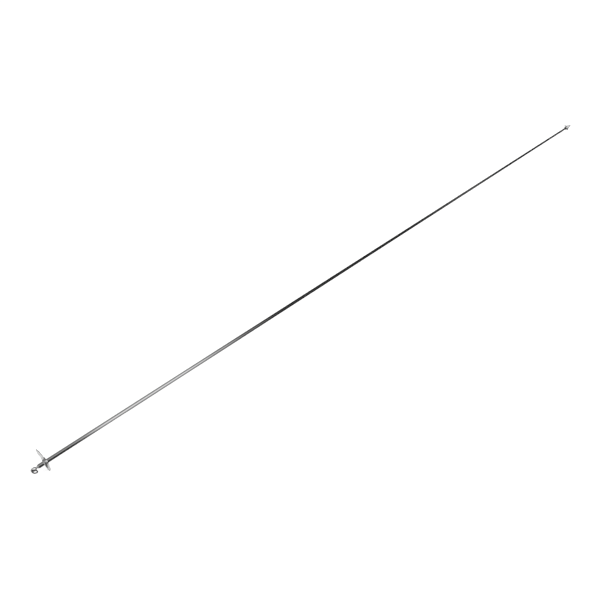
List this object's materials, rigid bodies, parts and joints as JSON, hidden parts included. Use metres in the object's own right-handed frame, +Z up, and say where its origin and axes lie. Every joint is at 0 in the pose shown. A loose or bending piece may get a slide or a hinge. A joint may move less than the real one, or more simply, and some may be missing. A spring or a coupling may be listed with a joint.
{
  "type": "drill paint mixer",
  "caption": "Long slim round shaft with a small bladed propeller near one end, a swivelling eye and ring at its tip, and a wing-nut coupling with a round drill shank at the other.",
  "frame": {"origin": "on the shaft's axis, at the shoulder where the round drive shank leaves the coupling", "axes": "+X along the shaft from the tip to the drill shank; +Z up with the mixer laid level; +Y completes the right-handed frame"},
  "size_m": [1.9137, 0.0359, 0.0357],
  "materials": {
    "polished_shaft": "mirror-polished stainless steel",
    "pin_steel": "hardened steel, dull",
    "cast_stainless": "bead-blasted cast stainless",
    "screw_steel": "black oxide",
    "blade_stainless": "brushed stainless sheet",
    "washer_brass": "turned brass",
    "bright_fittings": "satin nickel plate",
    "ring_steel": "dark spring steel",
    "coupling_steel": "turned steel, bright plated",
    "ground_shank": "ground tool steel"
  },
  "bodies": {
    "drive": {"coupling_body": "coupling_steel", "roll_pin": "pin_steel", "drive_shank": "ground_shank"},
    "ferrule": {"clamp_ferrule": "washer_brass", "thrust_washer": "washer_brass"},
    "wing_nut": {"wing_nut": "bright_fittings"},
    "shaft": {"mixing_shaft": "polished_shaft", "swivel_cross_pin": "pin_steel"},
    "propeller": {"propeller_hub": "cast_stainless", "hub_set_screw_1": "screw_steel", "hub_set_screw_2": "screw_steel", "propeller_blade_1": "blade_stainless", "propeller_blade_2": "blade_stainless", "propeller_blade_3": "blade_stainless"},
    "eye": {"tip_eye": "bright_fittings", "swivel_washer": "bright_fittings"},
    "ring": {"split_ring": "ring_steel"}
  },
  "joints": [
    {"name": "ferrule_slide", "type": "slide", "parent": "drive", "child": "ferrule", "axis": [-1, 0, 0], "range_m": [0, 0.003]},
    {"name": "wing_nut_turn", "type": "hinge", "parent": "ferrule", "child": "wing_nut", "pos_m": [-0.011, 0, 0], "axis": [-1, 0, 0], "range_deg": [0, 720.2]},
    {"name": "shaft_pull_out", "type": "slide", "parent": "drive", "child": "shaft", "axis": [-1, 0, 0], "range_m": [0, 0.007]},
    {"name": "propeller_slide", "type": "slide", "parent": "shaft", "child": "propeller", "axis": [1, 0, 0], "range_m": [0, 0.11]},
    {"name": "eye_swivel", "type": "hinge", "parent": "shaft", "child": "eye", "pos_m": [-1.886, 0, 0], "axis": [1, 0, 0], "continuous": true},
    {"name": "ring_swing", "type": "hinge", "parent": "eye", "child": "ring", "pos_m": [-1.8919, 0, 0], "axis": [0, 1, 0], "range_deg": [-20, 185]}
  ],
  "couplings": [
    {"joint": "wing_nut_turn", "follows": "ferrule_slide", "rad_per_m": 4188.8}
  ]
}
